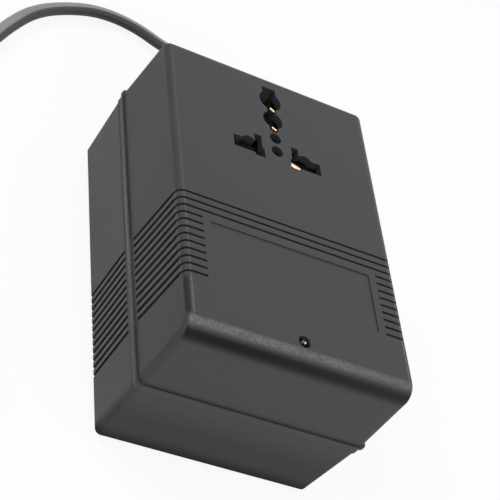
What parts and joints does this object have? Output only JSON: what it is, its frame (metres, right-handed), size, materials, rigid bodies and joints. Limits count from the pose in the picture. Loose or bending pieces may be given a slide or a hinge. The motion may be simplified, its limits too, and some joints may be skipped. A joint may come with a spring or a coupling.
{
  "type": "travel voltage converter",
  "caption": "Dark grey moulded step-down travel voltage converter with a universal outlet and grip grooves in its case, a flat mains cord and a round-pin plug",
  "frame": {"origin": "middle of the case, on the surface that its feet stand on", "axes": "+Z out of the outlet face, +Y along the case to the end where the cord leaves, +X to the right seen from the lamp end"},
  "size_m": [0.202, 0.1869, 0.0541],
  "materials": {
    "cover": "fine spark-eroded texture, satin",
    "base": "fine spark-eroded texture, satin",
    "feet": "matt",
    "case_screws": "zinc plated",
    "socket_carrier": "satin",
    "line_contact": "bright",
    "neutral_contact": "bright",
    "earth_contact": "bright",
    "carrier_screws": "zinc plated",
    "indicator_lamp": "tinted, unlit",
    "lamp_resistor": "lacquered",
    "lamp_leads": "sleeved wire",
    "e_laminations": "silicon steel, oiled",
    "i_laminations": "silicon steel, oiled",
    "bobbin": "moulded nylon",
    "terminal_pins": "tinned",
    "primary_winding": "enamelled copper",
    "secondary_winding": "enamelled copper",
    "winding_tape": "polyester tape",
    "transformer_washers": "zinc plated",
    "transformer_screws": "zinc plated",
    "thermal_fuse": "matt",
    "fuse_leads": "tinned wire",
    "output_leads": "sleeved wire",
    "live_core": "brown sheath",
    "neutral_core": "blue sheath",
    "strain_relief": "matt",
    "cord_tail": "satin",
    "cord_clamp": "satin",
    "clamp_screws": "zinc plated",
    "power_cord": "satin",
    "cord_coil": "satin",
    "coil_tie": "satin",
    "plug_lead": "satin",
    "plug_body": "satin",
    "plug_pins": "nickel plated",
    "plug_sleeves": "satin"
  },
  "bodies": {
    "root": {"cover": "cover", "base": "base", "feet": "feet", "case_screws": "case_screws", "socket_carrier": "socket_carrier", "line_contact": "line_contact", "neutral_contact": "neutral_contact", "earth_contact": "earth_contact", "carrier_screws": "carrier_screws", "indicator_lamp": "indicator_lamp", "lamp_resistor": "lamp_resistor", "lamp_leads": "lamp_leads", "e_laminations": "e_laminations", "i_laminations": "i_laminations", "bobbin": "bobbin", "terminal_pins": "terminal_pins", "primary_winding": "primary_winding", "secondary_winding": "secondary_winding", "winding_tape": "winding_tape", "transformer_washers": "transformer_washers", "transformer_screws": "transformer_screws", "thermal_fuse": "thermal_fuse", "fuse_leads": "fuse_leads", "output_leads": "output_leads", "live_core": "live_core", "neutral_core": "neutral_core", "strain_relief": "strain_relief", "cord_tail": "cord_tail", "cord_clamp": "cord_clamp", "clamp_screws": "clamp_screws", "power_cord": "power_cord", "cord_coil": "cord_coil", "coil_tie": "coil_tie", "plug_lead": "plug_lead", "plug_body": "plug_body", "plug_pins": "plug_pins", "plug_sleeves": "plug_sleeves"}
  },
  "joints": []
}
